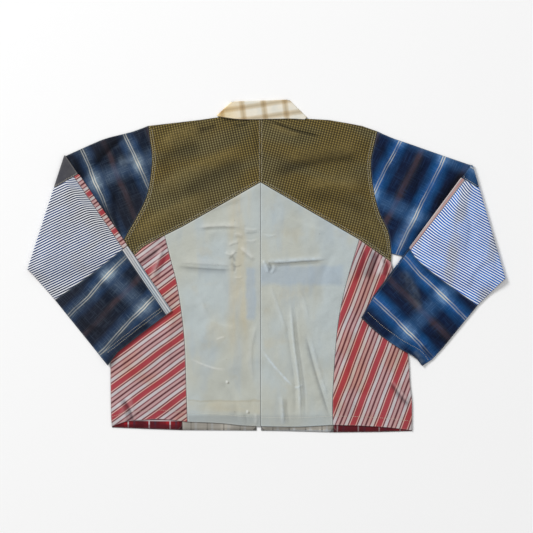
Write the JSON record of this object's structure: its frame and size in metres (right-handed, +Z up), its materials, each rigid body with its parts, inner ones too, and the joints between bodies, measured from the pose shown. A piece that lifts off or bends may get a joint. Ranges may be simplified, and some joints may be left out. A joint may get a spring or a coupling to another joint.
{
  "type": "patched boro jacket",
  "caption": "Patchwork cotton work jacket laid out flat and face down, with a turned-down collar and both sleeves folded over at the elbow.",
  "frame": {"origin": "middle of the footprint, on the surface that the jacket lies on", "axes": "+X to the wearer's right, +Y from the hem towards the collar, +Z up from the surface; the jacket's back faces +Z"},
  "size_m": [1.0525, 0.7316, 0.008],
  "materials": {
    "olive_check": "matt olive and brown mini-check cotton, topstitched",
    "faded_blue": "matt washed-out grey-blue cotton, stained",
    "red_stripe": "matt madder red, pink and white woven stripe",
    "red_plaid": "matt dark red plaid cotton",
    "beige_plaid": "matt beige and grey plaid cotton",
    "ivory_check": "matt ivory cotton with a tan windowpane check",
    "blue_plaid": "matt indigo shadow plaid with cream lines, faded",
    "bright_blue_plaid": "matt brighter indigo shadow plaid with cream lines",
    "charcoal": "matt charcoal cotton",
    "fine_stripe": "matt fine blue and white woven stripe",
    "bright_fine_stripe": "matt fine bright blue and white woven stripe",
    "pale_stripe": "matt white and grey stripe cotton"
  },
  "bodies": {
    "root": {"yoke_left": "olive_check", "yoke_right": "olive_check", "back_left": "faded_blue", "back_right": "faded_blue", "back_side_left": "red_stripe", "back_side_right": "red_stripe", "front_left": "beige_plaid", "front_side_left": "red_plaid", "front_right": "beige_plaid", "front_side_right": "red_plaid", "collar_fall": "ivory_check", "collar_stand": "ivory_check", "left_upper_front": "charcoal", "left_mid_front": "fine_stripe", "left_cuff_front": "blue_plaid", "left_upper_back": "blue_plaid", "left_mid_back": "red_stripe", "left_cuff_back": "pale_stripe", "right_upper_front": "bright_blue_plaid", "right_mid_front": "bright_fine_stripe", "right_cuff_front": "bright_blue_plaid", "right_upper_back": "bright_blue_plaid", "right_mid_back": "pale_stripe", "right_cuff_back": "bright_blue_plaid"}
  },
  "joints": []
}
